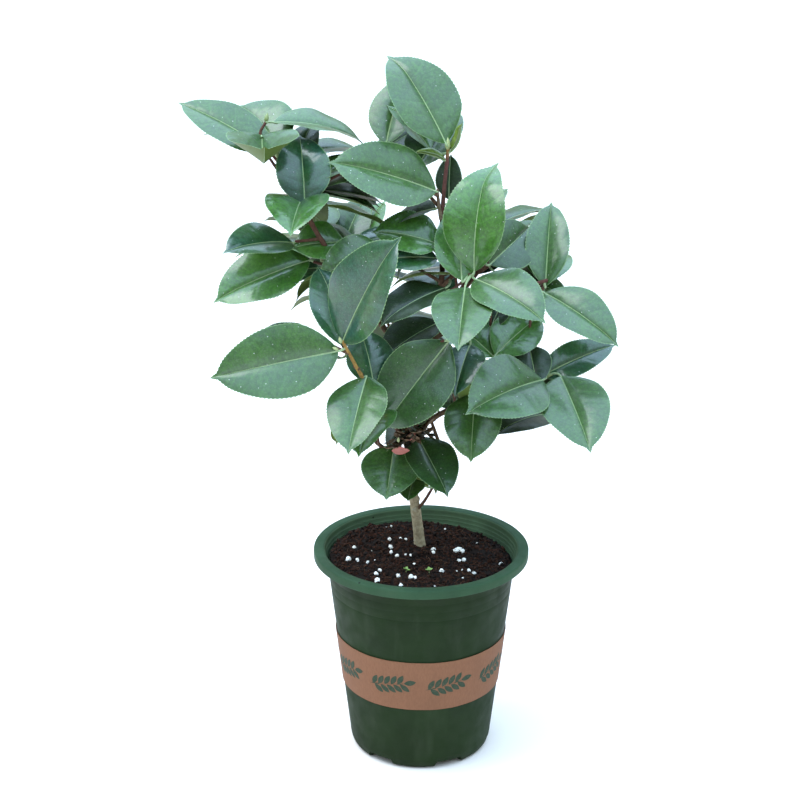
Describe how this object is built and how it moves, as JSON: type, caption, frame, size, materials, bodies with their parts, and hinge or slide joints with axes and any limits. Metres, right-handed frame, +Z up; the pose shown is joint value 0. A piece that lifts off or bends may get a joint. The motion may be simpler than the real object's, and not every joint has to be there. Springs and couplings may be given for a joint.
{
  "type": "potted young camellia shrub",
  "caption": "Young camellia shrub on one slim trunk, rooted in soil in a round tapered nursery pot with a rolled rim and a wrapped paper band.",
  "frame": {"origin": "centre of the pot's flat underside, on the surface that it stands on", "axes": "+Z up from the pot's foot to the crown, -Y the front, +X to the right seen from the front"},
  "size_m": [0.3279, 0.2635, 0.5523],
  "materials": {
    "pot": "matte moulded dark green plastic",
    "band": "matte uncoated kraft paper",
    "soil": "damp dark peat and bark with white perlite",
    "bark": "smooth grey-brown bark",
    "foliage": "glossy dark green leaves"
  },
  "bodies": {
    "root": {"pot": "pot", "band": "band", "soil": "soil", "trunk": "bark", "leader": "bark", "bough_left": "bark", "bough_front_left": "bark", "bough_lower_left": "bark", "bough_lower_right": "bark", "bough_right": "bark", "bough_upper_right": "bark", "bough_centre": "bark", "bough_back_left": "bark", "bough_back_right": "bark", "bough_back_low": "bark", "foliage_top": "foliage", "foliage_upper_left": "foliage", "foliage_middle_left": "foliage", "foliage_left": "foliage", "foliage_front_left": "foliage", "foliage_lower_left": "foliage", "foliage_centre": "foliage", "foliage_middle": "foliage", "foliage_upper_right": "foliage", "foliage_right": "foliage", "foliage_lower_right": "foliage", "foliage_low": "foliage", "foliage_back_left": "foliage", "foliage_back_right": "foliage", "foliage_back_low": "foliage"}
  },
  "joints": []
}
